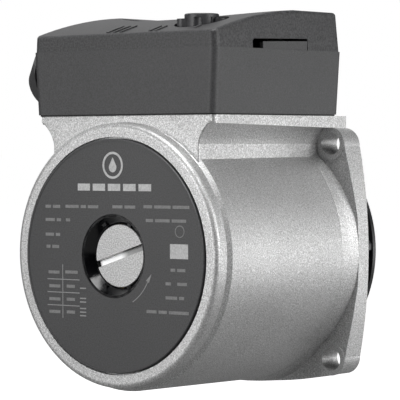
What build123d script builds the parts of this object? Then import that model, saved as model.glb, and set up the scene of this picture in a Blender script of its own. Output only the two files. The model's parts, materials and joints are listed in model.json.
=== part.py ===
from build123d import *
import os
from math import cos, radians, sin, sqrt

os.makedirs("parts", exist_ok=True)

# Motor head of a wet-rotor heating circulator: die-cast stator housing with a square bolt
# flange, terminal box with a speed knob on top, canned stator, rotor and closed impeller.
# Frame: the origin is the centre of the flange's rear mating face, on the shaft axis.
# +Y runs along the shaft towards the impeller, +Z up to the terminal box, +X to the right
# as seen from the nameplate.

# ---------------------------------------------------------------- driving dimensions, mm

head_length = 81.0  # nameplate face to mating face

# flange
bolt_spacing_x = 78.0
bolt_spacing_z = 76.0
bolt_hole_radius = 4.0
ear_thickness = 9.0
edge_thickness = 6.0
thin_half_length = 12.0
ramp_end = 34.0
flange_half_side = 48.8
flange_half_height = 47.7
ear_centre_x = 38.6
ear_centre_z = 37.1
ear_radius = 6.5
boss_radius = 5.8
boss_height = 0.25

# body of the stator housing
body_radius_rear = 47.0
body_radius_front = 46.5
ring_radius = 45.3
stator_bore_radius = 43.0
seat_radius = 46.2
seat_depth = 3.0
front_wall = 3.2

# nameplate and vent
plate_radius = 40.0
plate_proud = 0.7
plate_thickness = 2.8
vent_opening_radius = 14.3
plug_radius = 10.8
plug_recess = 3.6
plug_thickness = 3.0
plug_shank_radius = 8.0
plug_shank_length = 8.0
slot_width = 2.3
slot_depth = 1.9
slot_tilt = 17.5

# saddle that carries the terminal box
saddle_top = 47.8
saddle_half_width = 39.4
saddle_front = -74.9
saddle_rear = -0.15
neck_half_width = 32.9
cable_well_half_width = 16.0
cable_well_front = -56.0
cable_well_rear = -22.0

# terminal box
gasket_thickness = 0.5
box_floor = saddle_top + gasket_thickness
box_front = -76.0
box_rear = -5.7
box_half_width = 40.2
seam_height = 70.3
seam_front = -76.3
seam_rear = -5.3
seam_half_width = 41.5
box_corner = 2.6
box_wall = 2.2
crown_height = 84.38
crown_radius = 179.3
crown_start = -21.1
valley_height = 81.0
valley_radius = 250.0
lid_step = 0.3
lid_top_half_width = 40.35
lid_top_front = -76.0
lid_top_rear = -6.5

# speed knob
knob_x = 23.5
knob_y = -61.5
knob_radius = 5.9
knob_wing_length = 17.3
knob_wing_width = 4.6
knob_wing_angle = 25.0
knob_base = 77.6
knob_wing_top = 80.6
knob_top = 82.2
knob_hole_radius = 9.4
spindle_radius = 3.0

# shaft, bearings and rotor
shaft_radius = 5.0
shaft_front = -65.0
shaft_rear = 16.4
bearing_clearance = 0.05
can_inner_radius = 24.6
can_wall = 0.4
can_front = -66.4
rotor_radius = 24.15
stack_front = -52.0
stack_rear = -14.0
slot_count = 24
pole_count = 4

# impeller
impeller_radius = 43.0
impeller_front = 6.2
impeller_rear = 12.6
shroud_thickness = 1.7
eye_radius = 15.0
blade_count = 6

fit_gap = 0.1


# ---------------------------------------------------------------- shared shapes


def cross_plane(y):
    """Plane across the shaft axis; sketches on it read X, Z and extrude to the front."""
    return Plane.XZ.offset(-y)


def shaft_ring(inner, outer, rear, length):
    """Plain ring about the shaft axis, running forward from its rear face."""
    with BuildPart() as made:
        with BuildSketch(cross_plane(rear)):
            Circle(outer)
            Circle(inner, mode=Mode.SUBTRACT)
        extrude(amount=length)
    return made


def screw(x, y, seat, head_radius, head_height, shank_radius, shank_length):
    """Pan-head screw standing along Z, its head's underside at the seat height."""
    with BuildPart() as made:
        with BuildSketch(Plane.XY.offset(seat)):
            with Locations((x, y)):
                Circle(head_radius)
        extrude(amount=head_height)
        fillet(made.edges().group_by(Axis.Z)[-1], 0.35 * head_height)
        with BuildSketch(Plane.XY.offset(seat)):
            with Locations((x, y)):
                Circle(shank_radius)
        extrude(amount=-shank_length)
        with BuildSketch(Plane.XY.offset(seat + 0.5 * head_height)):
            with Locations((x, y)):
                Rectangle(1.6 * head_radius, 0.22 * head_radius)
                Rectangle(0.22 * head_radius, 1.6 * head_radius)
        extrude(amount=head_height, mode=Mode.SUBTRACT)
    return made


def wire(points, radius, bend):
    """Round lead along straight runs joined by arcs."""
    with BuildPart() as made:
        with BuildLine() as route:
            FilletPolyline(*points, radius=bend)
        start = route.line @ 0
        heading = route.line % 0
        with BuildSketch(Plane(origin=start, z_dir=heading)):
            Circle(radius)
        sweep(path=route.line)
    return made


# ---------------------------------------------------------------- stator housing

housing_front = -head_length + plate_proud
recess_floor = -head_length + plate_thickness
wall_inside = recess_floor + front_wall
ring_round = 1.9

with BuildPart() as body_blank:
    with BuildSketch(Plane.XY):
        with BuildLine():
            Polyline(
                (vent_opening_radius, wall_inside),
                (vent_opening_radius, recess_floor),
                (plate_radius + 0.6, recess_floor),
                (plate_radius + 0.6, housing_front),
                (ring_radius - ring_round, housing_front),
            )
            RadiusArc(
                (ring_radius - ring_round, housing_front),
                (ring_radius, housing_front + ring_round),
                -ring_round,
            )
            Polyline(
                (ring_radius, housing_front + ring_round),
                (ring_radius, -75.2),
                (body_radius_front, -73.8),
                (body_radius_rear, -ear_thickness),
                (body_radius_rear, 0),
                (stator_bore_radius, 0),
                (stator_bore_radius, wall_inside),
                (vent_opening_radius, wall_inside),
            )
        make_face()
    revolve(axis=Axis.Y)

with BuildSketch(cross_plane(0)) as flange_outline:
    with BuildLine():
        for side in (1, -1):
            ThreePointArc(
                (side * (ear_centre_x + ear_radius), -ear_centre_z),
                (side * flange_half_side, 0),
                (side * (ear_centre_x + ear_radius), ear_centre_z),
            )
            ThreePointArc(
                (-ear_centre_x, side * (ear_centre_z + ear_radius)),
                (0, side * flange_half_height),
                (ear_centre_x, side * (ear_centre_z + ear_radius)),
            )
            for end in (1, -1):
                ThreePointArc(
                    (side * (ear_centre_x + ear_radius), end * ear_centre_z),
                    (
                        side * (ear_centre_x + ear_radius * sqrt(0.5)),
                        end * (ear_centre_z + ear_radius * sqrt(0.5)),
                    ),
                    (side * ear_centre_x, end * (ear_centre_z + ear_radius)),
                )
    make_face()

# the flange: thick ears with a low boss round each bolt hole, thinner along its sides
boss_face = -ear_thickness - boss_height


def side_trough(plane):
    """Shallow trough across the flange's front, sloping up to the ears at both ends."""
    with BuildPart() as made:
        with BuildSketch(plane.offset(-70)):
            with BuildLine():
                Polyline(
                    (-ramp_end, -ear_thickness),
                    (-thin_half_length, -edge_thickness),
                    (thin_half_length, -edge_thickness),
                    (ramp_end, -ear_thickness),
                    close=True,
                )
            make_face()
        extrude(amount=140)
    return made


with BuildPart() as root_collar:
    with BuildSketch(Plane.XY):
        with BuildLine():
            Polyline(
                (body_radius_rear - 1, -13),
                (body_radius_rear, -13),
                (body_radius_rear + 0.6, -10),
                (flange_half_side, -edge_thickness),
                (flange_half_side, -edge_thickness + 1),
                (body_radius_rear - 1, -edge_thickness + 1),
                close=True,
            )
        make_face()
    revolve(axis=Axis.Y)
    with BuildSketch(cross_plane(0)):
        add(flange_outline.sketch)
    extrude(amount=14, mode=Mode.INTERSECT)

with BuildPart() as flange_blank:
    with BuildSketch(cross_plane(0)):
        add(flange_outline.sketch)
        Circle(stator_bore_radius, mode=Mode.SUBTRACT)
    extrude(amount=ear_thickness)
    add(side_trough(Plane.XY).part, mode=Mode.SUBTRACT)
    add(side_trough(Plane(origin=(0, 0, 0), x_dir=(0, 0, 1), z_dir=(-1, 0, 0))).part, mode=Mode.SUBTRACT)
    with BuildSketch(cross_plane(-ear_thickness)):
        with GridLocations(bolt_spacing_x, bolt_spacing_z, 2, 2):
            Circle(boss_radius)
    extrude(amount=boss_height)
    add(root_collar.part)
    add(body_blank.part)

# the saddle and the neck under it
saddle_edge_front = 45.1
saddle_edge_rear = 43.4
lip_half_width = 38.4
lip_height_front = 45.5

with BuildPart() as neck_blank:
    with BuildSketch(cross_plane(saddle_rear)):
        with BuildLine():
            for side in (1, -1):
                Polyline((0, 32.0), (side * neck_half_width, 32.0), (side * neck_half_width, 38.0))
                ThreePointArc(
                    (side * neck_half_width, 38.0),
                    (side * 35.3, 42.9),
                    (side * lip_half_width, lip_height_front),
                )
                Polyline(
                    (side * lip_half_width, lip_height_front),
                    (side * lip_half_width, saddle_top),
                    (0, saddle_top),
                )
        make_face()
    extrude(amount=saddle_rear - saddle_front)
    neck_edges = (
        neck_blank.faces()
        .sort_by(Axis.Y)[0]
        .edges()
        .filter_by(lambda e: abs(e.center().X) > neck_half_width - 0.1 and e.center().Z < lip_height_front)
    )
    fillet(neck_edges, 0.6)

with BuildPart() as saddle_blank:
    with BuildSketch(Plane.XY.offset(saddle_top)) as saddle_outline:
        with Locations((0, (saddle_front + saddle_rear) / 2)):
            Rectangle(2 * saddle_half_width, saddle_rear - saddle_front)
        fillet(saddle_outline.vertices().group_by(Axis.Y)[0], 2.6)
        fillet(saddle_outline.vertices().group_by(Axis.Y)[-1], 0.4)
    extrude(amount=saddle_edge_rear - saddle_top)
    with BuildSketch(Plane.YZ.offset(-saddle_half_width - 1)):
        with BuildLine():
            Polyline(
                (saddle_front - 1, saddle_edge_rear - 1),
                (saddle_front - 1, saddle_edge_front),
                (saddle_rear + 1, saddle_edge_rear),
                (saddle_rear + 1, saddle_edge_rear - 1),
                close=True,
            )
        make_face()
    extrude(amount=2 * saddle_half_width + 2, mode=Mode.SUBTRACT)
    add(neck_blank.part)

box_screw_places = [(27.0, -68.0), (27.0, -12.0), (-27.0, -12.0), (-31.0, -43.0)]
earth_x = -22.0
earth_y = -47.0

with BuildPart() as stator_housing:
    add(flange_blank.part)
    add(saddle_blank.part)
    with BuildSketch(cross_plane(0)):
        Circle(stator_bore_radius)
    extrude(amount=-wall_inside, mode=Mode.SUBTRACT)
    with BuildSketch(cross_plane(0)):
        Circle(seat_radius)
    extrude(amount=seat_depth, mode=Mode.SUBTRACT)
    with BuildSketch(Plane.XY.offset(saddle_top)):
        with Locations((0, -40)):
            Rectangle(140, 140)
    extrude(amount=10, mode=Mode.SUBTRACT)
    with BuildSketch(Plane.XY.offset(saddle_top)):
        with Locations((0, (cable_well_front + cable_well_rear) / 2)):
            RectangleRounded(2 * cable_well_half_width, cable_well_rear - cable_well_front, 3)
    extrude(amount=-18, mode=Mode.SUBTRACT)
    with Locations(cross_plane(boss_face)):
        with GridLocations(bolt_spacing_x, bolt_spacing_z, 2, 2):
            Hole(bolt_hole_radius)
    with Locations(Plane.XY.offset(saddle_top)):
        with Locations(*box_screw_places):
            Hole(1.8, depth=5.0)
        with Locations((earth_x, earth_y)):
            Hole(2.05, depth=5.0)
stator_housing.part.label = "stator_housing"
export_step(stator_housing.part, "parts/stator_housing.step")

# ---------------------------------------------------------------- nameplate and vent

# the plate has a hair-high lip round its rim, so that its printed field lies protected
lip_height = 0.15
plate_face = -head_length + lip_height

with BuildPart() as nameplate:
    with BuildSketch(cross_plane(recess_floor)):
        Circle(plate_radius)
        Circle(vent_opening_radius, mode=Mode.SUBTRACT)
    extrude(amount=plate_thickness)
    fillet(nameplate.edges().filter_by(GeomType.CIRCLE).group_by(Axis.Y)[0], 0.3)
    with BuildSketch(cross_plane(-head_length)):
        Circle(plate_radius - 0.8)
    extrude(amount=-lip_height, mode=Mode.SUBTRACT)
nameplate.part.label = "nameplate"
export_step(nameplate.part, "parts/nameplate.step")

plug_face = -head_length + plug_recess
plug_seat = plug_face + plug_thickness
bush_front = plug_seat + 1.8
bush_rear = -66.0
guard_radius = vent_opening_radius - fit_gap
guard_inner_radius = plug_radius + 0.25

with BuildPart() as vent_guard:
    with BuildSketch(Plane.XY):
        with BuildLine():
            Polyline(
                (guard_radius, -head_length + 0.4),
                (guard_radius, wall_inside),
                (guard_inner_radius, wall_inside),
                (guard_inner_radius, plug_face + 0.6),
                (guard_radius - 0.8, -head_length + 0.4),
                close=True,
            )
        make_face()
    revolve(axis=Axis.Y)
    with BuildSketch(cross_plane(wall_inside)):
        for angle in (62, 118, 242, 298):
            with PolarLocations(guard_inner_radius + 1.4, 1, start_angle=angle):
                Rectangle(2.2, 1.7)
    extrude(amount=wall_inside - plug_face + 1.6)
vent_guard.part.label = "vent_guard"
export_step(vent_guard.part, "parts/vent_guard.step")

with BuildPart() as vent_plug:
    with BuildSketch(cross_plane(plug_seat)):
        Circle(plug_radius)
    extrude(amount=plug_thickness)
    chamfer(vent_plug.edges().filter_by(GeomType.CIRCLE).group_by(Axis.Y)[0], 0.2)
    with BuildSketch(cross_plane(plug_seat)):
        Circle(plug_shank_radius)
    extrude(amount=-plug_shank_length)
    chamfer(vent_plug.edges().filter_by(GeomType.CIRCLE).group_by(Axis.Y)[-1], 0.8)
    with BuildSketch(cross_plane(plug_face + slot_depth)):
        Rectangle(2 * plug_radius + 2, slot_width, rotation=slot_tilt)
    extrude(amount=slot_depth, mode=Mode.SUBTRACT)
vent_plug.part.label = "vent_plug"
export_step(vent_plug.part, "parts/vent_plug.step")

seal_wire = 0.85
seal_radius = 9.2

with BuildPart() as vent_plug_seal:
    with BuildSketch(Plane.XY):
        with Locations((seal_radius, (plug_seat + bush_front) / 2)):
            Circle(seal_wire)
    revolve(axis=Axis.Y)
vent_plug_seal.part.label = "vent_plug_seal"
export_step(vent_plug_seal.part, "parts/vent_plug_seal.step")

bush_radius = 12.5

with BuildPart() as vent_bush:
    with BuildSketch(Plane.XY):
        with BuildLine():
            Polyline(
                (plug_shank_radius + bearing_clearance, bush_rear),
                (plug_shank_radius + bearing_clearance, bush_front),
                (bush_radius, bush_front),
                (bush_radius, bush_rear),
                close=True,
            )
        make_face()
    revolve(axis=Axis.Y)
vent_bush.part.label = "vent_bush"
export_step(vent_bush.part, "parts/vent_bush.step")

# ---------------------------------------------------------------- rotor can and bearings

can_outer_radius = can_inner_radius + can_wall
can_flange_radius = seat_radius - fit_gap
neck_outer_radius = bush_radius + can_wall

with BuildPart() as rotor_can:
    with BuildSketch(Plane.XY):
        with BuildLine():
            Polyline(
                (can_flange_radius, -seat_depth),
                (can_flange_radius, -seat_depth + can_wall),
                (can_inner_radius, -seat_depth + can_wall),
                (can_inner_radius, can_front + can_wall),
                (bush_radius, can_front + can_wall),
                (bush_radius, bush_front + 0.8),
                (neck_outer_radius, bush_front + 0.8),
                (neck_outer_radius, can_front),
                (can_outer_radius, can_front),
                (can_outer_radius, -seat_depth),
                close=True,
            )
        make_face()
    revolve(axis=Axis.Y)
rotor_can.part.label = "rotor_can"
export_step(rotor_can.part, "parts/rotor_can.step")

bearing_bore = shaft_radius + bearing_clearance
front_bearing_front = -64.6
front_bearing_length = 9.0
front_bearing_radius = 9.0

front_bearing = shaft_ring(
    bearing_bore,
    front_bearing_radius,
    front_bearing_front + front_bearing_length,
    front_bearing_length,
)
front_bearing.part.label = "front_bearing"
export_step(front_bearing.part, "parts/front_bearing.step")

holder_front = can_front + can_wall

with BuildPart() as front_bearing_holder:
    with BuildSketch(Plane.XY):
        with BuildLine():
            Polyline(
                (front_bearing_radius, front_bearing_front),
                (plug_shank_radius - 1.0, front_bearing_front),
                (plug_shank_radius - 1.0, holder_front),
                (can_inner_radius - fit_gap, holder_front),
                (can_inner_radius - fit_gap, holder_front + 8.0),
                (can_inner_radius - 2.0, holder_front + 8.0),
                (can_inner_radius - 2.0, holder_front + 2.4),
                (front_bearing_radius + 3.0, holder_front + 2.4),
                (front_bearing_radius + 2.2, front_bearing_front + front_bearing_length),
                (front_bearing_radius, front_bearing_front + front_bearing_length),
                close=True,
            )
        make_face()
    revolve(axis=Axis.Y)
    with Locations(cross_plane(holder_front)):
        with PolarLocations(17.5, 6):
            Hole(2.0, depth=4.0)
front_bearing_holder.part.label = "front_bearing_holder"
export_step(front_bearing_holder.part, "parts/front_bearing_holder.step")

rear_bearing_front = -10.0
rear_bearing_rear = 1.0
rear_bearing_radius = 8.0
spigot_radius = 43.4
spigot_height = 3.5
rim_face = -0.05
groove_inner_radius = 44.0
groove_outer_radius = 45.5
groove_depth = 1.5

with BuildPart() as bearing_plate:
    with BuildSketch(Plane.XY):
        with BuildLine():
            Polyline(
                (rear_bearing_radius, rear_bearing_front),
                (rear_bearing_radius + 3.0, rear_bearing_front),
                (rear_bearing_radius + 4.0, -seat_depth + can_wall + 0.4),
                (can_inner_radius, -seat_depth + can_wall + 0.4),
                (can_inner_radius + 0.4, -seat_depth + can_wall),
                (can_flange_radius, -seat_depth + can_wall),
                (can_flange_radius, rim_face),
                (groove_outer_radius, rim_face),
                (groove_outer_radius, rim_face - groove_depth),
                (groove_inner_radius, rim_face - groove_depth),
                (groove_inner_radius, rim_face),
                (spigot_radius, rim_face),
                (spigot_radius, spigot_height),
                (spigot_radius - 2.0, spigot_height),
                (spigot_radius - 2.0, 1.2),
                (rear_bearing_radius + 4.0, 1.2),
                (rear_bearing_radius + 3.0, 3.0),
                (rear_bearing_radius, 3.0),
                close=True,
            )
        make_face()
    revolve(axis=Axis.Y)
    with Locations(cross_plane(-seat_depth)):
        with PolarLocations(18.0, 4, start_angle=45):
            Hole(1.5, depth=6.0)
bearing_plate.part.label = "bearing_plate"
export_step(bearing_plate.part, "parts/bearing_plate.step")

rear_bearing = shaft_ring(
    bearing_bore,
    rear_bearing_radius,
    rear_bearing_rear,
    rear_bearing_rear - rear_bearing_front,
)
rear_bearing.part.label = "rear_bearing"
export_step(rear_bearing.part, "parts/rear_bearing.step")

flange_seal = shaft_ring(
    groove_inner_radius + 0.03,
    groove_outer_radius - 0.03,
    rim_face + 0.02,
    groove_depth + 0.02,
)
flange_seal.part.label = "flange_seal"
export_step(flange_seal.part, "parts/flange_seal.step")

# ---------------------------------------------------------------- stator

core_inner_radius = can_outer_radius + 0.15
slot_inner_radius = core_inner_radius + 1.8
slot_outer_radius = 36.0
slot_middle_radius = (slot_inner_radius + slot_outer_radius) / 2
slot_pitch = 360 / slot_count
slot_mouth = 2.0
stack_length = stack_rear - stack_front

with BuildPart() as stator_core:
    with BuildSketch(cross_plane(stack_rear)):
        Circle(stator_bore_radius)
        Circle(core_inner_radius, mode=Mode.SUBTRACT)
        with PolarLocations(slot_middle_radius, slot_count, start_angle=slot_pitch / 2):
            Trapezoid(
                5.8,
                slot_outer_radius - slot_inner_radius,
                84,
                rotation=90,
                mode=Mode.SUBTRACT,
            )
        with PolarLocations(slot_inner_radius, slot_count, start_angle=slot_pitch / 2):
            Rectangle(5.0, slot_mouth, mode=Mode.SUBTRACT)
    extrude(amount=stack_length)
stator_core.part.label = "stator_core"
export_step(stator_core.part, "parts/stator_core.step")


def winding(slot_radius, leg_radial, leg_tangential, end_inner, end_outer, start_angle):
    """Four coil groups: a rounded end-turn arc at each end of the stack for each pole,
    joined by the copper legs that fill the slots."""
    overhang = 0.8
    end_length = 8.0
    span = 360 / pole_count - 6
    with BuildPart() as made:
        for rear_face in (stack_front - overhang, stack_rear + overhang + end_length):
            with BuildSketch(cross_plane(rear_face)):
                for pole in range(pole_count):
                    middle = start_angle + pole * 360 / pole_count
                    with BuildLine():
                        CenterArc((0, 0), end_outer, middle - span / 2, span)
                        CenterArc((0, 0), end_inner, middle - span / 2, span)
                        for side in (-1, 1):
                            edge = radians(middle + side * span / 2)
                            Line(
                                (end_inner * cos(edge), end_inner * sin(edge)),
                                (end_outer * cos(edge), end_outer * sin(edge)),
                            )
                    make_face()
            extrude(amount=end_length)
        fillet(made.edges().filter_by(GeomType.CIRCLE), 1.1)
        with BuildSketch(cross_plane(stack_rear + overhang + 1.5)):
            with PolarLocations(slot_radius, slot_count, start_angle=slot_pitch / 2):
                Rectangle(leg_radial, leg_tangential)
        extrude(amount=stack_length + 2 * overhang + 3.0)
    return made


main_winding = winding(33.6, 3.6, 4.2, 31.2, 37.6, 45)
main_winding.part.label = "main_winding"
export_step(main_winding.part, "parts/main_winding.step")

auxiliary_winding = winding(29.3, 3.0, 3.2, 27.4, 30.9, 0)
auxiliary_winding.part.label = "auxiliary_winding"
export_step(auxiliary_winding.part, "parts/auxiliary_winding.step")

# ---------------------------------------------------------------- rotor group

with BuildPart() as shaft:
    with BuildSketch(cross_plane(shaft_rear)):
        Circle(shaft_radius)
    extrude(amount=shaft_rear - shaft_front)
    chamfer(shaft.edges().filter_by(GeomType.CIRCLE).group_by(Axis.Y)[-1], 0.6)
    chamfer(shaft.edges().filter_by(GeomType.CIRCLE).group_by(Axis.Y)[0], 0.6)
    with BuildSketch(cross_plane(shaft_front)):
        Rectangle(7.0, 1.2)
    extrude(amount=-1.5, mode=Mode.SUBTRACT)
shaft.part.label = "shaft"
export_step(shaft.part, "parts/shaft.step")

end_ring_length = 2.0
sleeve_wall = 0.4
rotor_core_radius = rotor_radius - sleeve_wall

rotor_core = shaft_ring(
    shaft_radius,
    rotor_core_radius,
    stack_rear - 1,
    stack_length - 2,
)
rotor_core.part.label = "rotor_core"
export_step(rotor_core.part, "parts/rotor_core.step")

with BuildPart() as rotor_end_rings:
    for rear_face in (stack_rear - 1 + end_ring_length, stack_front + 1):
        with BuildSketch(cross_plane(rear_face)):
            Circle(rotor_core_radius)
            Circle(15.0, mode=Mode.SUBTRACT)
        extrude(amount=end_ring_length)
rotor_end_rings.part.label = "rotor_end_rings"
export_step(rotor_end_rings.part, "parts/rotor_end_rings.step")

sleeve_front = stack_front + 1 - end_ring_length
sleeve_rear = stack_rear - 1 + end_ring_length

with BuildPart() as rotor_sleeve:
    with BuildSketch(Plane.XY):
        with BuildLine():
            Polyline(
                (rotor_core_radius, sleeve_front),
                (rotor_core_radius, sleeve_rear),
                (15.0, sleeve_rear),
                (15.0, sleeve_rear + sleeve_wall),
                (rotor_radius, sleeve_rear + sleeve_wall),
                (rotor_radius, sleeve_front - sleeve_wall),
                (15.0, sleeve_front - sleeve_wall),
                (15.0, sleeve_front),
                close=True,
            )
        make_face()
    revolve(axis=Axis.Y)
rotor_sleeve.part.label = "rotor_sleeve"
export_step(rotor_sleeve.part, "parts/rotor_sleeve.step")

thrust_gap = 0.2
thrust_ring_length = 1.4
thrust_ring_rear = rear_bearing_front - thrust_gap

thrust_ring = shaft_ring(shaft_radius, 8.6, thrust_ring_rear, thrust_ring_length)
thrust_ring.part.label = "thrust_ring"
export_step(thrust_ring.part, "parts/thrust_ring.step")

cushion_rear = thrust_ring_rear - thrust_ring_length

thrust_cushion = shaft_ring(shaft_radius, 9.4, cushion_rear, cushion_rear - stack_rear + 1)
thrust_cushion.part.label = "thrust_cushion"
export_step(thrust_cushion.part, "parts/thrust_cushion.step")

# ---------------------------------------------------------------- impeller

hub_radius = 9.0
front_shroud_rear = impeller_front + shroud_thickness
rear_shroud_front = impeller_rear - shroud_thickness

with BuildPart() as impeller:
    with BuildSketch(Plane.XY):
        with BuildLine():
            Polyline(
                (shaft_radius, impeller_front - 1.2),
                (hub_radius, impeller_front - 1.2),
                (hub_radius, impeller_front),
                (impeller_radius, impeller_front),
                (impeller_radius, front_shroud_rear),
                (hub_radius + 3.0, front_shroud_rear),
                (hub_radius, front_shroud_rear + 2.5),
                (hub_radius, impeller_rear),
                (shaft_radius, impeller_rear),
                close=True,
            )
        make_face()
    revolve(axis=Axis.Y)
    with BuildSketch(cross_plane(rear_shroud_front)):
        for blade in range(blade_count):
            with BuildLine():
                tip = Vector(impeller_radius - 0.5, 0).rotate(Axis.Z, 60 * blade)
                middle = Vector(29.0, 0).rotate(Axis.Z, 60 * blade + 22)
                root = Vector(hub_radius + 5.0, 0).rotate(Axis.Z, 60 * blade + 62)
                ThreePointArc(tip, middle, root)
                tip_back = Vector(impeller_radius - 0.5, 0).rotate(Axis.Z, 60 * blade + 3)
                middle_back = Vector(29.0, 0).rotate(Axis.Z, 60 * blade + 26)
                root_back = Vector(hub_radius + 5.0, 0).rotate(Axis.Z, 60 * blade + 70)
                ThreePointArc(tip_back, middle_back, root_back)
                Line(tip, tip_back)
                Line(root, root_back)
            make_face()
    extrude(amount=rear_shroud_front - front_shroud_rear)
    with BuildSketch(Plane.XY):
        with BuildLine():
            Polyline(
                (eye_radius, rear_shroud_front),
                (impeller_radius, rear_shroud_front),
                (impeller_radius, impeller_rear),
                (eye_radius + 4.5, impeller_rear),
                (eye_radius + 2.2, impeller_rear + 2.0),
                (eye_radius + 2.2, impeller_rear + 6.0),
                (eye_radius, impeller_rear + 6.0),
                close=True,
            )
        make_face()
    revolve(axis=Axis.Y)
impeller.part.label = "impeller"
export_step(impeller.part, "parts/impeller.step")

with BuildPart() as split_cone:
    with BuildSketch(Plane.XY):
        with BuildLine():
            Polyline(
                (shaft_radius, impeller_rear),
                (7.6, impeller_rear),
                (6.4, impeller_rear + 2.2),
                (shaft_radius, impeller_rear + 2.2),
                close=True,
            )
        make_face()
    revolve(axis=Axis.Y)
    with BuildSketch(cross_plane(impeller_rear + 3)):
        with Locations((10, 0)):
            Rectangle(20, 0.8)
    extrude(amount=4, mode=Mode.SUBTRACT)
split_cone.part.label = "split_cone"
export_step(split_cone.part, "parts/split_cone.step")

# ---------------------------------------------------------------- terminal box base


def box_form(inset, bottom):
    """The base's tapering outline, drawn in by the inset, from the given height up."""
    with BuildPart() as made:
        with BuildSketch(Plane.XY.offset(bottom)):
            with Locations((0, (box_front + box_rear) / 2)):
                RectangleRounded(
                    2 * (box_half_width - inset),
                    box_rear - box_front - 2 * inset,
                    box_corner - 0.5 * inset,
                )
        with BuildSketch(Plane.XY.offset(seam_height)):
            with Locations((0, (seam_front + seam_rear) / 2)):
                RectangleRounded(
                    2 * (seam_half_width - inset),
                    seam_rear - seam_front - 2 * inset,
                    box_corner - 0.5 * inset,
                )
        loft()
    return made


floor_top = box_floor + box_wall
gland_y = -62.8
gland_z = 61.2
gland_tilt = 24.0
gland_hole_radius = 6.1
gland_plane = Plane(
    origin=(-41.0, gland_y, gland_z),
    x_dir=(0, 1, 0),
    z_dir=(-cos(radians(gland_tilt)), 0, -sin(radians(gland_tilt))),
)
lid_screw_places = [(27.0, -24.0), (-31.0, -34.0)]
lid_post_top = 77.2
latch_front = -56.0
latch_rear = -25.2
latch_top_front = 73.55
latch_top_rear = 74.35
tongue_front = -50.0
tongue_rear = latch_rear - 0.06
tongue_drop = 0.85
tongue_thickness = 1.4
tongue_setback = 0.6
cavity = box_form(box_wall, floor_top)

with BuildPart() as terminal_box_base:
    add(box_form(0, box_floor).part)
    add(cavity.part, mode=Mode.SUBTRACT)
    with BuildSketch(Plane.XY.offset(seam_height)):
        with Locations((0, (seam_front + seam_rear) / 2)):
            RectangleRounded(
                2 * (seam_half_width - 1.1),
                seam_rear - seam_front - 2.2,
                box_corner - 0.6,
            )
    extrude(amount=-1.2, mode=Mode.SUBTRACT)
    with BuildSketch(Plane.XY.offset(floor_top)):
        with Locations(*lid_screw_places):
            Circle(3.6)
        with Locations((15.0, -53.4), (32.5, -53.4), (15.0, -70.0)):
            Circle(1.9)
    extrude(amount=5.5)
    with BuildSketch(Plane.XY.offset(floor_top)):
        with Locations(*lid_screw_places):
            Circle(3.6)
    extrude(amount=lid_post_top - floor_top)
    for side in (-1, 1):
        with BuildSketch(Plane.YZ.offset(side * (seam_half_width - tongue_setback))):
            with BuildLine():
                Polyline(
                    (tongue_front, seam_height),
                    (tongue_rear, seam_height),
                    (tongue_rear, latch_top_rear - tongue_drop),
                    (tongue_front, latch_top_front - tongue_drop),
                    close=True,
                )
            make_face()
        extrude(amount=-side * tongue_thickness)
    with BuildSketch(Plane.XY.offset(box_floor)):
        with Locations((0, (cable_well_front + cable_well_rear) / 2)):
            RectangleRounded(2 * cable_well_half_width, cable_well_rear - cable_well_front, 3)
    extrude(amount=box_wall, mode=Mode.SUBTRACT)
    with Locations(Plane.XY.offset(floor_top)):
        with Locations(*box_screw_places):
            Hole(1.9, depth=box_wall)
        with Locations((earth_x, earth_y)):
            Hole(2.15, depth=box_wall)
    with Locations(Plane.XY.offset(lid_post_top)):
        with Locations(*lid_screw_places):
            Hole(1.85, depth=18)
    with BuildSketch(gland_plane.offset(-8)):
        Circle(gland_hole_radius)
    extrude(amount=12, mode=Mode.SUBTRACT)
terminal_box_base.part.label = "terminal_box_base"
export_step(terminal_box_base.part, "parts/terminal_box_base.step")

with BuildPart() as box_gasket:
    with BuildSketch(Plane.XY.offset(saddle_top)):
        with Locations((0, (box_front + box_rear) / 2)):
            RectangleRounded(2 * box_half_width - 0.8, box_rear - box_front - 0.8, box_corner)
        with Locations((0, (cable_well_front + cable_well_rear) / 2)):
            RectangleRounded(
                2 * cable_well_half_width,
                cable_well_rear - cable_well_front,
                3,
                mode=Mode.SUBTRACT,
            )
        with Locations(*box_screw_places):
            Circle(1.9, mode=Mode.SUBTRACT)
        with Locations((earth_x, earth_y)):
            Circle(2.15, mode=Mode.SUBTRACT)
    extrude(amount=gasket_thickness)
box_gasket.part.label = "box_gasket"
export_step(box_gasket.part, "parts/box_gasket.step")

with BuildPart() as lid_seal:
    with BuildSketch(Plane.XY.offset(seam_height - 1.2)):
        with Locations((0, (seam_front + seam_rear) / 2)):
            RectangleRounded(
                2 * (seam_half_width - 1.2),
                seam_rear - seam_front - 2.4,
                box_corner - 0.7,
            )
            RectangleRounded(
                2 * (seam_half_width - 2.1),
                seam_rear - seam_front - 4.2,
                box_corner - 1.2,
                mode=Mode.SUBTRACT,
            )
    extrude(amount=1.2)
lid_seal.part.label = "lid_seal"
export_step(lid_seal.part, "parts/lid_seal.step")

# ---------------------------------------------------------------- terminal box lid


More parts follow.
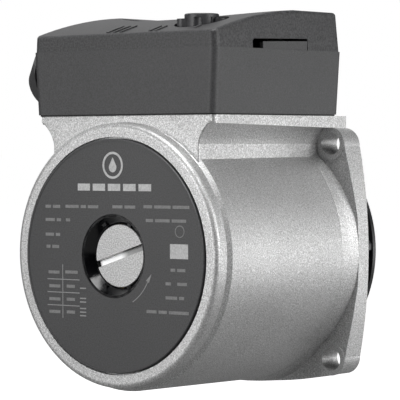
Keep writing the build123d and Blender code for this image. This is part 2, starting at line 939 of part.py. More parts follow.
def lid_form(inset, bottom, edge_round):
    """The lid's outline drawn in by the inset: four walls that lean inwards under a roof
    that dips along its middle and falls on a long arc to the front."""
    centre_z = crown_height - crown_radius
    reach = crown_start - (seam_front - 5)
    with BuildPart() as made:
        with BuildSketch(Plane.XY.offset(bottom)):
            with Locations((0, (seam_front + seam_rear) / 2)):
                RectangleRounded(
                    2 * (seam_half_width - lid_step - inset),
                    seam_rear - seam_front - 2 * (lid_step + inset),
                    box_corner - 0.5 * inset,
                )
        with BuildSketch(Plane.XY.offset(crown_height)):
            with Locations((0, (lid_top_front + lid_top_rear) / 2)):
                RectangleRounded(
                    2 * (lid_top_half_width - inset),
                    lid_top_rear - lid_top_front - 2 * inset,
                    box_corner - 0.5 * inset,
                )
        loft()
        with BuildSketch(Plane.YZ.offset(-seam_half_width - 1)):
            with BuildLine():
                RadiusArc(
                    (crown_start, crown_height - inset),
                    (crown_start - reach, centre_z + sqrt((crown_radius - inset) ** 2 - reach**2)),
                    inset - crown_radius,
                )
                Polyline(
                    (crown_start - reach, centre_z + sqrt((crown_radius - inset) ** 2 - reach**2)),
                    (crown_start - reach, bottom),
                    (0, bottom),
                    (0, crown_height - inset),
                    (crown_start, crown_height - inset),
                )
            make_face()
        extrude(amount=2 * seam_half_width + 2, mode=Mode.INTERSECT)
        with BuildSketch(cross_plane(0)):
            with Locations((0, valley_height - inset + valley_radius)):
                Circle(valley_radius)
        extrude(amount=head_length, mode=Mode.SUBTRACT)
        if edge_round > 0:
            roof_edges = made.edges().filter_by(
                lambda e: e.center().Z > 75
                and (abs(e.center().X) > 37 or e.center().Y < -73.5 or e.center().Y > -8.5)
                and abs(e.tangent_at(0.5).Z) < 0.5
            )
            fillet(roof_edges, edge_round)
    return made


lid_screw_seat = 79.6
lid_core = lid_form(box_wall, seam_height, 0)
mark_height = 0.4
marks_skin = lid_form(-mark_height, seam_height, 0)
mark_width = 0.9
speed_marks = [
    (-4.6, -70.6, 8.4, 3, 3.0),
    (12.6, -71.6, 6.0, 2, 2.6),
    (29.8, -71.3, 3.2, 1, 0.0),
]

with BuildPart() as mark_prisms:
    with BuildSketch(Plane.XY.offset(seam_height + 4)):
        for x, y, length, count, pitch in speed_marks:
            with Locations((x, y)):
                with GridLocations(pitch, 0, count, 1):
                    Rectangle(mark_width, length)
    extrude(amount=12)
    add(marks_skin.part, mode=Mode.INTERSECT)
    with BuildSketch(Plane.XY.offset(seam_height)):
        with Locations((knob_x, knob_y)):
            Circle(knob_hole_radius)
    extrude(amount=20, mode=Mode.SUBTRACT)

with BuildPart() as terminal_box_lid:
    add(lid_form(0, seam_height, 1.2).part)
    add(lid_core.part, mode=Mode.SUBTRACT)
    with BuildSketch(Plane.XY.offset(valley_height)):
        with Locations(*lid_screw_places):
            Circle(5.6)
    extrude(amount=lid_post_top + 0.3 - valley_height)
    with BuildSketch(Plane.XY.offset(lid_screw_seat)):
        with Locations(*lid_screw_places):
            Circle(4.2)
    extrude(amount=8, mode=Mode.SUBTRACT)
    with BuildSketch(Plane.XY.offset(lid_screw_seat)):
        with Locations(*lid_screw_places):
            Circle(2.0)
    extrude(amount=-5, mode=Mode.SUBTRACT)
    for side in (-1, 1):
        with BuildSketch(Plane.YZ.offset(side * (seam_half_width + 1))):
            with BuildLine():
                Polyline(
                    (latch_front, seam_height - 1),
                    (latch_rear, seam_height - 1),
                    (latch_rear, latch_top_rear),
                    (latch_front + 0.8, latch_top_front),
                    (latch_front, latch_top_front - 0.8),
                    close=True,
                )
            make_face()
        extrude(amount=-side * 5, mode=Mode.SUBTRACT)
    with BuildSketch(Plane.XY.offset(78.4)):
        with BuildLine():
            Polyline(
                (3.0, -68.8),
                (17.5, -67.6),
                (knob_x, knob_y),
                (17.5, -71.0),
                (3.0, -70.2),
                close=True,
            )
        make_face()
    extrude(amount=8, mode=Mode.SUBTRACT)
    with BuildSketch(Plane.XY.offset(seam_height + 2)):
        with Locations((knob_x, knob_y)):
            Circle(knob_hole_radius)
    extrude(amount=20, mode=Mode.SUBTRACT)
    add(mark_prisms.part)
terminal_box_lid.part.label = "terminal_box_lid"
export_step(terminal_box_lid.part, "parts/terminal_box_lid.step")

with BuildPart() as lid_screws:
    for x, y in lid_screw_places:
        add(screw(x, y, lid_screw_seat, 3.6, 2.6, 1.75, 17.0).part)
lid_screws.part.label = "lid_screws"
export_step(lid_screws.part, "parts/lid_screws.step")

# ---------------------------------------------------------------- speed knob and switch

switch_bottom = floor_top + 5.5
switch_top = 73.6

with BuildPart() as speed_knob:
    with BuildSketch(Plane.XY.offset(knob_base)):
        with Locations((knob_x, knob_y)):
            Circle(knob_radius)
            with PolarLocations(knob_radius + 1.4, 6, start_angle=knob_wing_angle + 30):
                Circle(2.2, mode=Mode.SUBTRACT)
    extrude(amount=knob_top - 1.3 - knob_base)
    with BuildSketch(Plane.XY.offset(knob_top - 1.3)):
        with Locations((knob_x, knob_y)):
            Circle(knob_radius)
    extrude(amount=1.3)
    fillet(speed_knob.edges().group_by(Axis.Z)[-1], 0.5)
    with BuildSketch(Plane.XY.offset(knob_base)):
        with Locations((knob_x, knob_y)):
            SlotOverall(knob_wing_length, knob_wing_width, rotation=knob_wing_angle)
    extrude(amount=knob_wing_top - knob_base)
    with BuildSketch(Plane.XY.offset(knob_base)):
        with Locations((knob_x, knob_y)):
            Circle(spindle_radius)
    extrude(amount=3.0, mode=Mode.SUBTRACT)
speed_knob.part.label = "speed_knob"
export_step(speed_knob.part, "parts/speed_knob.step")

spindle_bottom = 62.0

with BuildPart() as knob_spindle:
    with BuildSketch(Plane.XY.offset(spindle_bottom)):
        with Locations((knob_x, knob_y)):
            Circle(spindle_radius)
    extrude(amount=knob_base + 3.0 - spindle_bottom)
knob_spindle.part.label = "knob_spindle"
export_step(knob_spindle.part, "parts/knob_spindle.step")

with BuildPart() as switch_body:
    with BuildSketch(Plane.XY.offset(switch_bottom)):
        with Locations((knob_x, knob_y)):
            RectangleRounded(21.0, 21.0, 2.0)
    extrude(amount=switch_top - switch_bottom)
    chamfer(switch_body.edges().group_by(Axis.Z)[-1], 0.6)
    with Locations(Plane.XY.offset(switch_top)):
        with Locations((knob_x, knob_y)):
            Hole(spindle_radius + bearing_clearance, depth=switch_top - spindle_bottom + 0.4)
switch_body.part.label = "switch_body"
export_step(switch_body.part, "parts/switch_body.step")

with BuildPart() as switch_contacts:
    for y in (-69.0, -64.0, -59.0, -54.0):
        with BuildSketch(Plane.YZ.offset(knob_x - 10.5)):
            with Locations((y, 63.0)):
                Rectangle(2.8, 0.8)
        extrude(amount=-5.0)
switch_contacts.part.label = "switch_contacts"
export_step(switch_contacts.part, "parts/switch_contacts.step")

# ---------------------------------------------------------------- box contents

capacitor_radius = 9.6
capacitor_y = -19.9
capacitor_z = 62.4
capacitor_left = -33.0
capacitor_length = 46.0

with BuildPart() as capacitor:
    with BuildSketch(Plane.YZ.offset(capacitor_left)):
        with Locations((capacitor_y, capacitor_z)):
            Circle(capacitor_radius)
    extrude(amount=capacitor_length)
    fillet(capacitor.edges().filter_by(GeomType.CIRCLE), 1.4)
capacitor.part.label = "capacitor"
export_step(capacitor.part, "parts/capacitor.step")

with BuildPart() as capacitor_clip:
    with BuildSketch(Plane.YZ.offset(-16.0)):
        with Locations((capacitor_y, floor_top + 4.6)):
            Rectangle(14.0, 9.2)
        with Locations((capacitor_y, capacitor_z)):
            Circle(capacitor_radius + 1.6)
            Circle(capacitor_radius, mode=Mode.SUBTRACT)
        with Locations((capacitor_y, capacitor_z + 8)):
            Rectangle(11.0, 12.0, mode=Mode.SUBTRACT)
    extrude(amount=9.0)
capacitor_clip.part.label = "capacitor_clip"
export_step(capacitor_clip.part, "parts/capacitor_clip.step")

block_x = -8.0
block_y = -62.5
pole_pitch = 8.6
pole_places = [block_x + pole_pitch * k for k in (-1, 0, 1)]

with BuildPart() as terminal_block:
    with BuildSketch(Plane.XY.offset(floor_top)):
        with Locations((block_x, block_y)):
            Rectangle(3 * pole_pitch + 1.2, 12.0)
    extrude(amount=13.0)
    with BuildSketch(Plane.XY.offset(floor_top + 13.0)):
        for x in pole_places[:-1]:
            with Locations((x + pole_pitch / 2, block_y)):
                Rectangle(1.2, 12.0)
    extrude(amount=1.6)
    with Locations(Plane.XY.offset(floor_top + 13.0)):
        with Locations(*[(x, block_y) for x in pole_places]):
            CounterBoreHole(1.6, 2.8, 3.2, depth=10.0)
    with Locations(cross_plane(block_y - 6.0)):
        with Locations(*[(x, floor_top + 6.0) for x in pole_places]):
            Hole(1.9, depth=12.0)
terminal_block.part.label = "terminal_block"
export_step(terminal_block.part, "parts/terminal_block.step")

with BuildPart() as terminal_screws:
    for x in pole_places:
        add(screw(x, block_y, floor_top + 9.8, 2.6, 1.8, 1.5, 1.8).part)
terminal_screws.part.label = "terminal_screws"
export_step(terminal_screws.part, "parts/terminal_screws.step")

connector_y = -46.5
lead_pitch = 5.2
lead_start_y = -54.6

with BuildPart() as winding_connector:
    with BuildSketch(Plane.XY.offset(floor_top)):
        with Locations((0, connector_y)):
            Rectangle(35.0, 7.0)
    extrude(amount=1.6)
    with BuildSketch(Plane.XY.offset(floor_top)):
        with Locations((0, connector_y)):
            Rectangle(24.0, 6.0)
    extrude(amount=9.0)
    with Locations(Plane.XY.offset(floor_top + 9.0)):
        with Locations((0, connector_y)):
            with GridLocations(lead_pitch, 0, 4, 1):
                Hole(1.25, depth=9.0)
winding_connector.part.label = "winding_connector"
export_step(winding_connector.part, "parts/winding_connector.step")

with BuildPart() as winding_leads:
    for k in range(4):
        x = lead_pitch * (k - 1.5)
        route = [
            (x, lead_start_y, 37.8),
            (x, lead_start_y, 43.4),
            (x, connector_y, 47.6),
            (x, connector_y, floor_top + 6.0),
        ]
        add(wire(route, 1.1, 1.6).part)
winding_leads.part.label = "winding_leads"
export_step(winding_leads.part, "parts/winding_leads.step")

with BuildPart() as box_screws:
    for x, y in box_screw_places:
        add(screw(x, y, floor_top, 3.3, 2.2, 1.7, 6.4).part)
box_screws.part.label = "box_screws"
export_step(box_screws.part, "parts/box_screws.step")

washer_thickness = 0.8

with BuildPart() as earth_terminal:
    with BuildSketch(Plane.XY.offset(floor_top)):
        with Locations((earth_x, earth_y)):
            Circle(4.2)
        with Locations((earth_x, earth_y + 6.0)):
            Rectangle(3.0, 8.0)
        with Locations((earth_x, earth_y)):
            Circle(2.2, mode=Mode.SUBTRACT)
    extrude(amount=washer_thickness)
earth_terminal.part.label = "earth_terminal"
export_step(earth_terminal.part, "parts/earth_terminal.step")

earth_screw = screw(earth_x, earth_y, floor_top + washer_thickness, 3.8, 2.8, 2.0, 7.6)
earth_screw.part.label = "earth_screw"
export_step(earth_screw.part, "parts/earth_screw.step")

clamp_x = -26.0
clamp_half_span = 5.6

with BuildPart() as cable_clamp:
    with BuildSketch(Plane.XY.offset(56.2)):
        with Locations((clamp_x, gland_y)):
            RectangleRounded(6.0, 2 * clamp_half_span + 6.0, 1.5)
        with Locations((clamp_x, gland_y - clamp_half_span), (clamp_x, gland_y + clamp_half_span)):
            Circle(1.6, mode=Mode.SUBTRACT)
    extrude(amount=2.6)
cable_clamp.part.label = "cable_clamp"
export_step(cable_clamp.part, "parts/cable_clamp.step")

with BuildPart() as clamp_posts:
    with BuildSketch(Plane.XY.offset(floor_top)):
        with Locations((clamp_x, gland_y - clamp_half_span), (clamp_x, gland_y + clamp_half_span)):
            Circle(2.8)
            Circle(1.5, mode=Mode.SUBTRACT)
    extrude(amount=56.2 - floor_top)
clamp_posts.part.label = "clamp_posts"
export_step(clamp_posts.part, "parts/clamp_posts.step")

with BuildPart() as clamp_screws:
    for side in (-1, 1):
        add(screw(clamp_x, gland_y + side * clamp_half_span, 58.8, 2.6, 1.8, 1.4, 7.0).part)
clamp_screws.part.label = "clamp_screws"
export_step(clamp_screws.part, "parts/clamp_screws.step")

# ---------------------------------------------------------------- cable gland

cable_radius = 3.6

with BuildPart() as gland_body:
    with BuildSketch(gland_plane.offset(-6.6)):
        Circle(gland_hole_radius - fit_gap)
    extrude(amount=9.4)
    with BuildSketch(gland_plane.offset(-8.4)):
        Circle(7.4)
    extrude(amount=1.8)
    with BuildSketch(gland_plane.offset(-9)):
        Circle(cable_radius + 1.2)
    extrude(amount=14, mode=Mode.SUBTRACT)
gland_body.part.label = "gland_body"
export_step(gland_body.part, "parts/gland_body.step")

with BuildPart() as gland_seal:
    with BuildSketch(gland_plane.offset(2.9)):
        Circle(gland_hole_radius - fit_gap)
        Circle(cable_radius, mode=Mode.SUBTRACT)
    extrude(amount=2.6)
gland_seal.part.label = "gland_seal"
export_step(gland_seal.part, "parts/gland_seal.step")

# moulded hood over the gland: a blunt cone that points down, cut level under the seam
hood_root_radius = 12.4
hood_end_radius = 7.6
hood_length = 8.1

with BuildPart() as gland_hood:
    with BuildSketch(gland_plane):
        Circle(hood_root_radius)
    with BuildSketch(gland_plane.offset(hood_length)):
        Circle(hood_end_radius)
    loft()
    fillet(gland_hood.edges().filter_by(GeomType.CIRCLE).sort_by(Axis.X)[0], 0.8)
    with BuildSketch(gland_plane):
        Circle(hood_root_radius)
    extrude(amount=-9)
    with BuildSketch(Plane.YZ.offset(-seam_half_width - 0.05)):
        with Locations((gland_y, gland_z)):
            Rectangle(60, 60)
    extrude(amount=20, mode=Mode.SUBTRACT)
    with BuildSketch(Plane.XY.offset(seam_height - 0.3)):
        with Locations((-seam_half_width - 5, gland_y)):
            Rectangle(40, 40)
    extrude(amount=20, mode=Mode.SUBTRACT)
    with BuildSketch(gland_plane.offset(-9)):
        Circle(gland_hole_radius)
    extrude(amount=14.6, mode=Mode.SUBTRACT)
    with BuildSketch(gland_plane):
        Circle(cable_radius + 0.3)
    extrude(amount=hood_length + 1, mode=Mode.SUBTRACT)
gland_hood.part.label = "gland_hood"
export_step(gland_hood.part, "parts/gland_hood.step")
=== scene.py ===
import json
import math

import bmesh
import bpy
from mathutils import Matrix, Vector


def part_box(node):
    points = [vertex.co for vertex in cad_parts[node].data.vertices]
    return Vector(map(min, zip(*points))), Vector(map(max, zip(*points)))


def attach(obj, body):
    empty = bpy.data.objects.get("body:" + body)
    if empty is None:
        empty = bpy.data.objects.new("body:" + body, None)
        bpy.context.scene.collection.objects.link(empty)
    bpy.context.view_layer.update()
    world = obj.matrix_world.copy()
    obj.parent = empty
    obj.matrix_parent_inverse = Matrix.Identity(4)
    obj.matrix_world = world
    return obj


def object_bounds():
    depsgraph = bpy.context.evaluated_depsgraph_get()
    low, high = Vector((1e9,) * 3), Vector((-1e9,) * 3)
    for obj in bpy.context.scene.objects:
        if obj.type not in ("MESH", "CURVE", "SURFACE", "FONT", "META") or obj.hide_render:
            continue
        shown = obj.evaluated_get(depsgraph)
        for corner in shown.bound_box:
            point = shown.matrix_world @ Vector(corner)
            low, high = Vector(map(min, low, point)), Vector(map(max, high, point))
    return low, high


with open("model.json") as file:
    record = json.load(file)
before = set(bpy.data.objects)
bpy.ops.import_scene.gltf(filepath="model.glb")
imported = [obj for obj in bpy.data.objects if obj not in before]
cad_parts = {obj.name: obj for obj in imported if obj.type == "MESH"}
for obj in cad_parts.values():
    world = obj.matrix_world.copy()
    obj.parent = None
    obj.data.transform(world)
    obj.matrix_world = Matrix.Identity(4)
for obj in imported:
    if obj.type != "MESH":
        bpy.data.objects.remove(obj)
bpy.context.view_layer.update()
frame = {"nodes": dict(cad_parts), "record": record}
nodes = frame["nodes"]

MM = 0.001


# ---------------------------------------------------------------- material helpers


class Shade:
    """A material under construction: the principled shader, object coordinates and the
    few node recipes that the finishes below share."""

    def __init__(self, name, color, metallic=0.0, roughness=0.5):
        self.mat = bpy.data.materials.new(name)
        self.mat.use_nodes = True
        self.tree = self.mat.node_tree
        self.bsdf = self.tree.nodes["Principled BSDF"]
        self.place = self.tree.nodes.new("ShaderNodeTexCoord").outputs["Object"]
        self.bsdf.inputs["Base Color"].default_value = (*color, 1)
        self.bsdf.inputs["Metallic"].default_value = metallic
        self.bsdf.inputs["Roughness"].default_value = roughness

    def link(self, source, target):
        self.tree.links.new(source, target)

    def set(self, socket, value):
        self.bsdf.inputs[socket].default_value = value

    def feed(self, source, socket):
        self.link(source, self.bsdf.inputs[socket])

    def noise(self, scale, detail=2.0, roughness=0.5, stretch=None):
        node = self.tree.nodes.new("ShaderNodeTexNoise")
        node.inputs["Scale"].default_value = scale
        node.inputs["Detail"].default_value = detail
        node.inputs["Roughness"].default_value = roughness
        self.link(self.stretched(stretch), node.inputs["Vector"])
        return node.outputs["Fac"]

    def cells(self, scale):
        node = self.tree.nodes.new("ShaderNodeTexVoronoi")
        node.inputs["Scale"].default_value = scale
        self.link(self.place, node.inputs["Vector"])
        return node.outputs["Distance"]

    def stretched(self, stretch):
        if stretch is None:
            return self.place
        node = self.tree.nodes.new("ShaderNodeMapping")
        node.inputs["Scale"].default_value = stretch
        self.link(self.place, node.inputs["Vector"])
        return node.outputs["Vector"]

    def ramp(self, fac, *stops):
        """Colour ramp through (position, grey or colour) stops."""
        node = self.tree.nodes.new("ShaderNodeValToRGB")
        ramp = node.color_ramp
        while len(ramp.elements) < len(stops):
            ramp.elements.new(1.0)
        for element, (position, color) in zip(ramp.elements, stops):
            element.position = position
            shade = (color,) * 3 if isinstance(color, float) else color
            element.color = (*shade, 1)
        self.link(fac, node.inputs["Fac"])
        return node.outputs["Color"]

    def mix(self, first, second):
        """Colour mix node of two colours; its factor is left to the caller."""
        node = self.tree.nodes.new("ShaderNodeMix")
        node.data_type = "RGBA"
        self.link(first, node.inputs["A"])
        self.link(second, node.inputs["B"])
        return node

    def multiply(self, first, second):
        node = self.mix(first, second)
        node.blend_type = "MULTIPLY"
        node.inputs["Factor"].default_value = 1.0
        return node.outputs["Result"]

    def choose(self, first, second, mask):
        """The first colour where the mask is 0, the second where it is 1."""
        node = self.mix(first, second)
        self.link(mask, node.inputs["Factor"])
        return node.outputs["Result"]

    def span(self, fac, low, high):
        """The middle half of a 0 to 1 signal, stretched to the range low to high."""
        node = self.tree.nodes.new("ShaderNodeMapRange")
        node.inputs["From Min"].default_value = 0.25
        node.inputs["From Max"].default_value = 0.75
        node.inputs["To Min"].default_value = low
        node.inputs["To Max"].default_value = high
        self.link(fac, node.inputs["Value"])
        return node.outputs["Result"]

    def between(self, value, low, high):
        """0 below low, 1 above high."""
        node = self.tree.nodes.new("ShaderNodeMapRange")
        node.inputs["From Min"].default_value = low
        node.inputs["From Max"].default_value = high
        self.link(value, node.inputs["Value"])
        return node.outputs["Result"]

    def bump(self, height, strength, distance, under=None):
        node = self.tree.nodes.new("ShaderNodeBump")
        node.inputs["Strength"].default_value = strength
        node.inputs["Distance"].default_value = distance
        self.link(height, node.inputs["Height"])
        if under is not None:
            self.link(under, node.inputs["Normal"])
        self.feed(node.outputs["Normal"], "Normal")
        return node.outputs["Normal"]


# ---------------------------------------------------------------- finishes

# the vent plug's slot, in the plug's own coordinates; they place the painted highlight on its floor
SLOT_HALF_LENGTH = 9 * MM
SLOT_FLOOR_Y = -76.6 * MM
SLOT_EDGE_Y = -77.0 * MM


def cast_aluminium():
    """Shot-blasted die casting: pale, with a fine salt-and-pepper grain."""
    shade = Shade("cast_aluminium", (0.6, 0.6, 0.59), metallic=0.75, roughness=0.48)
    grain = shade.noise(2600, detail=2, roughness=0.6)
    cloud = shade.noise(45, detail=2)
    color = shade.ramp(grain, (0.32, 0.36), (0.50, 0.58), (0.68, 0.86))
    tone = shade.ramp(cloud, (0.35, 0.93), (0.65, 1.0))
    shade.feed(shade.multiply(color, tone), "Base Color")
    shade.feed(shade.span(grain, 0.60, 0.40), "Roughness")
    pits = shade.bump(shade.noise(1500, detail=3, roughness=0.7), 0.5, 0.00016)
    shade.bump(shade.cells(2200), 0.25, 0.00008, under=pits)
    return shade.mat


def moulded(name, color, roughness=0.5, grain=1600.0, depth=0.00006, contrast=0.22):
    """Moulded plastic with a fine spark-eroded grain."""
    shade = Shade(name, color, roughness=roughness)
    fine = shade.noise(grain, detail=2, roughness=0.6)
    cloud = shade.noise(40, detail=2)
    dark = tuple((1 - contrast) * c for c in color)
    pale = tuple(min(1.0, (1 + contrast) * c) for c in color)
    tone = shade.ramp(fine, (0.34, dark), (0.66, pale))
    drift = shade.ramp(cloud, (0.35, 0.94), (0.65, 1.0))
    shade.feed(shade.multiply(tone, drift), "Base Color")
    shade.feed(shade.span(fine, roughness - 0.06, roughness + 0.08), "Roughness")
    shade.bump(fine, 0.5, depth)
    return shade.mat


def plug_metal(name):
    """Blasted nickel face; the slot's floor carries a painted highlight, pale at one end and darker
    towards the other.
    """
    shade = Shade(name, (0.6, 0.6, 0.59), metallic=1.0, roughness=0.5)
    grain = shade.noise(2300, detail=2, roughness=0.6)
    face = shade.ramp(grain, (0.34, 0.32), (0.5, 0.48), (0.66, 0.68))
    parts = shade.tree.nodes.new("ShaderNodeSeparateXYZ")
    shade.link(shade.place, parts.inputs["Vector"])
    # painted highlight: the slot's floor colour runs from pale at one end to dark at the other
    along = shade.between(parts.outputs["X"], -SLOT_HALF_LENGTH, SLOT_HALF_LENGTH)
    floor = shade.ramp(along, (0.0, 1.0), (0.45, 0.95), (0.62, 0.35), (1.0, 0.25))
    depth = shade.between(parts.outputs["Y"], SLOT_EDGE_Y, SLOT_FLOOR_Y)
    shade.feed(shade.choose(face, floor, depth), "Base Color")
    shade.bump(grain, 0.4, 0.00008)
    return shade.mat


def metal(name, color, roughness=0.3, stretch=(1, 1, 1)):
    """Bare metal with machining or rolling lines drawn out along one axis."""
    shade = Shade(name, color, metallic=1.0, roughness=roughness)
    lines = shade.noise(900, detail=3, roughness=0.6, stretch=stretch)
    dark = tuple(0.82 * c for c in color)
    shade.feed(shade.ramp(lines, (0.3, dark), (0.7, color)), "Base Color")
    shade.feed(shade.span(lines, roughness - 0.07, roughness + 0.1), "Roughness")
    shade.bump(lines, 0.35, 0.00003)
    return shade.mat


def rubber():
    """Matt black rubber."""
    shade = Shade("rubber", (0.02, 0.02, 0.02), roughness=0.75)
    fine = shade.noise(1200, detail=3)
    shade.feed(shade.span(fine, 0.68, 0.85), "Roughness")
    shade.bump(fine, 0.3, 0.00004)
    return shade.mat


def laminated_steel():
    """Stacked punched sheet: fine dark lines across the shaft direction."""
    shade = Shade("laminated_steel", (0.30, 0.30, 0.32), metallic=0.9, roughness=0.42)
    sheets = shade.noise(420, detail=1, stretch=(0.02, 5.0, 0.02))
    shade.feed(shade.ramp(sheets, (0.35, 0.16), (0.6, 0.36)), "Base Color")
    shade.bump(sheets, 0.5, 0.00006)
    return shade.mat


def varnished_copper(name, color):
    """Wound enamelled wire under varnish: strands wound along the end turns."""
    shade = Shade(name, color, metallic=0.75, roughness=0.32)
    strands = shade.noise(700, detail=2, stretch=(1, 3.5, 1))
    dark = tuple(0.45 * c for c in color)
    shade.feed(shade.ramp(strands, (0.35, dark), (0.6, color)), "Base Color")
    shade.bump(strands, 0.7, 0.00025)
    shade.set("Coat Weight", 0.6)
    shade.set("Coat Roughness", 0.12)
    return shade.mat


finishes = {
    "cast_aluminium": cast_aluminium(),
    "box_plastic": moulded("box_plastic", (0.0585, 0.0585, 0.0605), 0.5, 2200, contrast=0.34),
    "knob_plastic": moulded("knob_plastic", (0.05, 0.05, 0.054), 0.42, 900),
    "dark_plastic": moulded("dark_plastic", (0.04, 0.04, 0.043), 0.45),
    "pale_plastic": moulded("pale_plastic", (0.62, 0.60, 0.54), 0.42, 700),
    "nameplate": moulded("nameplate", (0.061, 0.061, 0.063), 0.46, 2300, 0.00003, 0.34),
    "gloss_black": moulded("gloss_black", (0.004, 0.004, 0.005), 0.16, 500, 0.00001),
    "impeller_black": moulded("impeller_black", (0.02, 0.02, 0.022), 0.35, 700),
    "nickel_brass": plug_metal("nickel_brass"),
    "brass": metal("brass", (0.72, 0.53, 0.24), 0.28),
    "stainless": metal("stainless", (0.60, 0.60, 0.59), 0.27, stretch=(1, 0.15, 1)),
    "polished_steel": metal("polished_steel", (0.68, 0.68, 0.69), 0.14, stretch=(0.2, 3, 0.2)),
    "ring_aluminium": metal("ring_aluminium", (0.74, 0.74, 0.74), 0.4),
    "zinc_steel": metal("zinc_steel", (0.66, 0.66, 0.63), 0.3),
    "carbon": moulded("carbon", (0.035, 0.035, 0.038), 0.38, 1100),
    "rubber": rubber(),
    "electrical_steel": laminated_steel(),
    "copper_enamel": varnished_copper("copper_enamel", (0.60, 0.20, 0.07)),
    "lead_insulation": moulded("lead_insulation", (0.32, 0.05, 0.03), 0.4),
}

for row in frame["record"]["subparts"]:
    node = nodes[row["node"]]
    node.data.materials.clear()
    node.data.materials.append(finishes[row["material_slot"]])

# the lid is moulded with a coarser, darker grain than the base under it
nodes["terminal_box_lid"].data.materials[0] = moulded(
    "lid_plastic", (0.050, 0.050, 0.052), 0.5, 1500, 0.00010, 0.55
)


# ---------------------------------------------------------------- nameplate print

plate_low, plate_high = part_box("nameplate")
PRINT_FACE = plate_low.y + 0.15 * MM
PRINT_HEIGHT = 0.05 * MM
PRINT_SINK = 0.05 * MM


def prism(mesh, outline):
    """Raises one closed print stroke from its outline of (x, z) points in millimetres."""
    front = [mesh.verts.new((x * MM, PRINT_FACE - PRINT_HEIGHT, z * MM)) for x, z in outline]
    back = [mesh.verts.new((x * MM, PRINT_FACE + PRINT_SINK, z * MM)) for x, z in outline]
    mesh.faces.new(front)
    mesh.faces.new(list(reversed(back)))
    count = len(outline)
    for i in range(count):
        j = (i + 1) % count
        mesh.faces.new((front[i], back[i], back[j], front[j]))


def block(mesh, left, right, bottom, top):
    prism(mesh, [(left, bottom), (right, bottom), (right, top), (left, top)])


def bar(mesh, left, right, middle, thickness):
    block(mesh, left, right, middle - thickness / 2, middle + thickness / 2)


def dashes(mesh, left, middle, widths, gap=0.9, height=1.05):
    """A row of plain dashes in place of a printed word."""
    for width in widths:
        bar(mesh, left, left + width, middle, height)
        left += width + gap


def polar(radius, degrees, around=(0, 0)):
    """The (x, z) point at a radius and an angle round a centre."""
    angle = math.radians(degrees)
    return (around[0] + radius * math.cos(angle), around[1] + radius * math.sin(angle))


def arc_band(mesh, around, radius, start, end, thickness, steps=24):
    """A stroke along an arc, from start to end in degrees."""
    angles = [start + (end - start) * k / steps for k in range(steps + 1)]
    outer = [polar(radius + thickness / 2, angle, around) for angle in angles]
    inner = [polar(radius - thickness / 2, angle, around) for angle in angles]
    prism(mesh, outer + inner[::-1])


def ring(mesh, around, radius, thickness):
    """A full ring as two half bands, each a simple outline."""
    for start in (90, -90):
        arc_band(mesh, around, radius, start, start + 180, thickness)


def finish_print(mesh, name, material):
    bmesh.ops.recalc_face_normals(mesh, faces=mesh.faces)
    data = bpy.data.meshes.new(name)
    mesh.to_mesh(data)
    mesh.free()
    piece = bpy.data.objects.new(name, data)
    bpy.context.scene.collection.objects.link(piece)
    data.materials.append(material)
    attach(piece, "root")


def print_ink(name, grey):
    shade = Shade(name, (grey, grey, grey), roughness=0.5)
    speck = shade.noise(1700, detail=2)
    shade.feed(shade.ramp(speck, (0.3, 0.8 * grey), (0.7, 1.1 * grey)), "Base Color")
    return shade.mat


# the emblem is a plain drop in a ring over a row of blocks; the square lies to the right
EMBLEM_CENTRE = (0, 30.9)
DROP_TIP = (0, 33.6)
DROP_BELLY = (0, 30.2)
DROP_RADIUS = 1.7

emblem = bmesh.new()
ring(emblem, EMBLEM_CENTRE, 4.2, 0.8)
prism(emblem, [DROP_TIP] + [polar(DROP_RADIUS, d, DROP_BELLY) for d in range(25, -206, -15)])
dashes(emblem, -16.0, 23.4, (5.6,) * 5, gap=1.3, height=2.4)
block(emblem, 25.4, 33.2, -0.2, 4.7)
finish_print(emblem, "nameplate_emblem", print_ink("pale_ink", 0.62))

# left end, middle height and dash widths of each row of small print
DASH_ROWS = (
    (-31.2, 16.6, (2.6, 3.4)),
    (-21.8, 16.7, (6.2, 2.4, 4.8)),
    (-0.2, 16.8, (4.6, 4.8)),
    (13.8, 17.0, (3.8, 7.2, 7.2)),
    (-31.2, 12.0, (4.4, 1.9)),
    (-21.6, 12.0, (1.9,)),
    (14.8, 12.4, (3.2, 6.4, 6.2)),
    (-31.2, 6.9, (3.9, 2.0)),
    (-30.8, 2.7, (1.8, 3.2)),
    (25.6, -4.0, (2.0, 3.5)),
    (23.4, -8.6, (2.3,)),
    (28.5, -8.6, (4.2,)),
    (23.4, -13.3, (5.0, 2.1)),
    (15.0, -18.2, (4.4, 3.6, 8.6)),
    (-29.9, -6.2, (5.2,)),
    (-22.0, -6.0, (5.8,)),
)

rows = bmesh.new()
for left, middle, widths in DASH_ROWS:
    dashes(rows, left, middle, widths)
for middle in (-11.0, -15.5, -19.9):
    dashes(rows, -29.6, middle, (5.2,))
    dashes(rows, -21.4, middle + 0.1, (3.8,))
ring(rows, (29.6, 8.9), 1.9, 0.3)
finish_print(rows, "nameplate_rows", print_ink("faint_ink", 0.24))

# the speed table: ruled lines, and one to three bars for the three speeds
table = bmesh.new()
block(table, -23.35, -23.1, -22.0, -3.4)
for middle in (-8.6, -13.1, -17.6):
    bar(table, -30.4, -15.4, middle, 0.28)
for count, middle in ((1, -11.4), (2, -15.5), (3, -19.6)):
    for k in range(count):
        bar(table, -15.2, -12.4, middle + 1.25 * (k - (count - 1) / 2), 0.42)

# the arrow that shows which way the rotor turns
arc_band(table, (0, 0), 17.6, -60, -25, 0.26)
prism(table, [polar(18.1, -18), polar(16.8, -28), polar(18.2, -28)])
finish_print(table, "nameplate_table", print_ink("line_ink", 0.36))


# ---------------------------------------------------------------- stage, light and camera

FLOOR_HALF_SIDE = 30
FLOOR_DROP = 90 * MM

low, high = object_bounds()
centre = (Vector(low) + Vector(high)) / 2


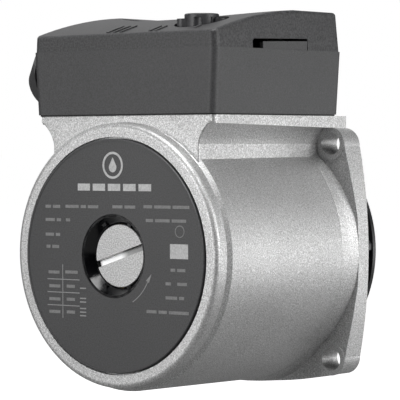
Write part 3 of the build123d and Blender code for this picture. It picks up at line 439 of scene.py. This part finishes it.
def split_by_ray(tree, unseen, seen, output):
    """Gives the camera one shader and every other ray another."""
    path = tree.nodes.new("ShaderNodeLightPath")
    mix = tree.nodes.new("ShaderNodeMixShader")
    tree.links.new(path.outputs["Is Camera Ray"], mix.inputs["Fac"])
    tree.links.new(unseen, mix.inputs[1])
    tree.links.new(seen, mix.inputs[2])
    tree.links.new(mix.outputs["Shader"], tree.nodes[output].inputs["Surface"])


def add_floor():
    """Floor well below the head, which is held by its flange: white to the camera, dim to
    the object."""
    mesh = bpy.data.meshes.new("floor")
    grid = bmesh.new()
    bmesh.ops.create_grid(grid, x_segments=1, y_segments=1, size=FLOOR_HALF_SIDE)
    grid.to_mesh(mesh)
    grid.free()
    floor = bpy.data.objects.new("floor", mesh)
    floor.location = (centre.x, centre.y, low[2] - FLOOR_DROP)
    bpy.context.scene.collection.objects.link(floor)
    mat = bpy.data.materials.new("pale_floor")
    mat.use_nodes = True
    tree = mat.node_tree
    bsdf = tree.nodes["Principled BSDF"]
    bsdf.inputs["Base Color"].default_value = (0.85, 0.85, 0.85, 1)
    bsdf.inputs["Roughness"].default_value = 0.9
    bsdf.inputs["Specular IOR Level"].default_value = 0.0
    bsdf.inputs["Emission Color"].default_value = (1, 1, 1, 1)
    bsdf.inputs["Emission Strength"].default_value = 1.0
    dim = tree.nodes.new("ShaderNodeBsdfDiffuse")
    dim.inputs["Color"].default_value = (0.22, 0.22, 0.22, 1)
    split_by_ray(tree, dim.outputs["BSDF"], bsdf.outputs["BSDF"], "Material Output")
    mesh.materials.append(mat)


def add_world():
    """White to the camera and dark to the object, so that only the softboxes light it."""
    world = bpy.data.worlds.new("studio")
    bpy.context.scene.world = world
    world.use_nodes = True
    tree = world.node_tree
    back = tree.nodes["Background"]
    back.inputs["Color"].default_value = (1, 1, 1, 1)
    back.inputs["Strength"].default_value = 1.0
    fill = tree.nodes.new("ShaderNodeBackground")
    fill.inputs["Strength"].default_value = 0.0
    split_by_ray(tree, fill.outputs["Background"], back.outputs["Background"], "World Output")


SOFTBOX_DISTANCE = 0.9
SOFTBOX_SIDE = 0.55


def add_softbox(name, azimuth, elevation, power):
    """Area light on a sphere round the object; azimuth 0 stands in front of the nameplate."""
    turn = math.radians(azimuth)
    rise = math.radians(elevation)
    away = Vector((math.sin(turn) * math.cos(rise), -math.cos(turn) * math.cos(rise), math.sin(rise)))
    light = bpy.data.lights.new(name, "AREA")
    light.shape = "RECTANGLE"
    light.size = light.size_y = SOFTBOX_SIDE
    light.energy = power
    lamp = bpy.data.objects.new(name, light)
    lamp.location = centre + away * SOFTBOX_DISTANCE
    lamp.rotation_euler = (-away).to_track_quat("-Z", "Y").to_euler()
    lamp.visible_camera = False
    bpy.context.scene.collection.objects.link(lamp)


CAMERA_PLACE = Vector((546.0, -697.3, 36.8)) * MM
CAMERA_YAW = math.radians(39.47)
CAMERA_DIP = math.radians(1.2385)
CAMERA_ROLL = math.radians(-0.1813)
CAMERA_LENS = 218.05
SENSOR_WIDTH = 36


def add_camera():
    ahead = Vector(
        (
            -math.sin(CAMERA_YAW) * math.cos(CAMERA_DIP),
            math.cos(CAMERA_YAW) * math.cos(CAMERA_DIP),
            -math.sin(CAMERA_DIP),
        )
    )
    level = Vector((math.cos(CAMERA_YAW), math.sin(CAMERA_YAW), 0))
    above = level.cross(ahead)
    right = math.cos(CAMERA_ROLL) * level + math.sin(CAMERA_ROLL) * above
    up = math.cos(CAMERA_ROLL) * above - math.sin(CAMERA_ROLL) * level
    data = bpy.data.cameras.new("camera")
    data.lens = CAMERA_LENS
    data.sensor_width = SENSOR_WIDTH
    data.clip_start = 0.01
    camera = bpy.data.objects.new("camera", data)
    turn = Matrix((right, up, -ahead)).transposed().to_4x4()
    camera.matrix_world = Matrix.Translation(CAMERA_PLACE) @ turn
    bpy.context.scene.collection.objects.link(camera)
    bpy.context.scene.camera = camera


add_floor()
add_world()
add_softbox("front_box", -20, 10, 4.0)
add_softbox("left_box", -90, 35, 1.3)
add_softbox("right_box", 100, 10, 4.6)
add_softbox("rim_box", 140, -15, 3.4)
add_softbox("back_box", 218, 35, 0.8)
add_softbox("top_box", 38, 75, 8.0)
add_camera()
bpy.context.scene.view_settings.view_transform = "Standard"
